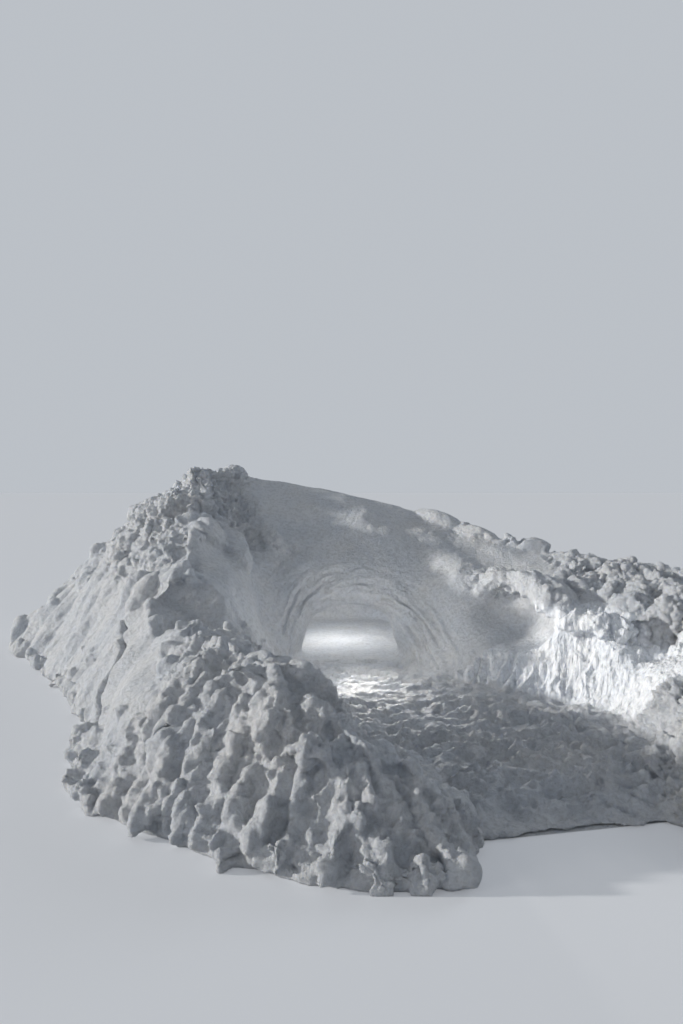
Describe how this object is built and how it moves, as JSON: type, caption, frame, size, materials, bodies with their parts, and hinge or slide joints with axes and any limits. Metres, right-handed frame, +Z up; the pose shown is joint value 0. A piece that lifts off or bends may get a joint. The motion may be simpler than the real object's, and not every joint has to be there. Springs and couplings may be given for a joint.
{
  "type": "snow shelter",
  "caption": "Heaped snow mound hollowed into a low domed chamber, with an arched crawl-in doorway and a dug-out forecourt between two curved snow banks.",
  "frame": {"origin": "on the ground under the middle of the doorway's outer foot, where the threshold's floor begins", "axes": "+X to the right of someone facing the doorway, +Y into the chamber, +Z up"},
  "size_m": [7.6767, 8.052, 2.1102],
  "materials": {
    "heaped_snow": "rough, granular",
    "scraped_snow": "smooth, packed",
    "shovelled_snow": "lumpy, matte",
    "trodden_snow": "trodden, matte"
  },
  "bodies": {
    "root": {"peak": "heaped_snow", "left_flank": "heaped_snow", "back_left_flank": "heaped_snow", "back_flank": "heaped_snow", "back_right_flank": "heaped_snow", "right_shoulder": "heaped_snow", "right_flank": "heaped_snow", "front_wall_left": "scraped_snow", "left_flank_front": "heaped_snow", "front_wall_right": "scraped_snow", "right_rim": "heaped_snow", "vault_crown": "scraped_snow", "vault_left": "scraped_snow", "vault_back_left": "scraped_snow", "vault_back": "scraped_snow", "vault_back_right": "scraped_snow", "vault_right": "scraped_snow", "vault_front": "scraped_snow", "entrance_hood": "scraped_snow", "left_bank_rear_crest": "shovelled_snow", "left_bank_rear_face": "shovelled_snow", "left_bank_middle_crest": "shovelled_snow", "left_bank_middle_face": "shovelled_snow", "left_bank_front_crest": "shovelled_snow", "left_bank_front_face": "shovelled_snow", "left_bank_nose": "shovelled_snow", "left_bank_tip": "shovelled_snow", "scooped_wall": "scraped_snow", "right_bank_rear": "shovelled_snow", "cut_wall": "scraped_snow", "right_bank_middle": "shovelled_snow", "buttress": "shovelled_snow", "right_bank_shoulder": "shovelled_snow", "right_bank_front": "shovelled_snow", "right_bank_tip": "shovelled_snow", "chamber_floor": "trodden_snow", "threshold_floor": "trodden_snow", "court_floor_rear": "trodden_snow", "court_floor_middle": "trodden_snow", "court_floor_front": "trodden_snow"}
  },
  "joints": []
}
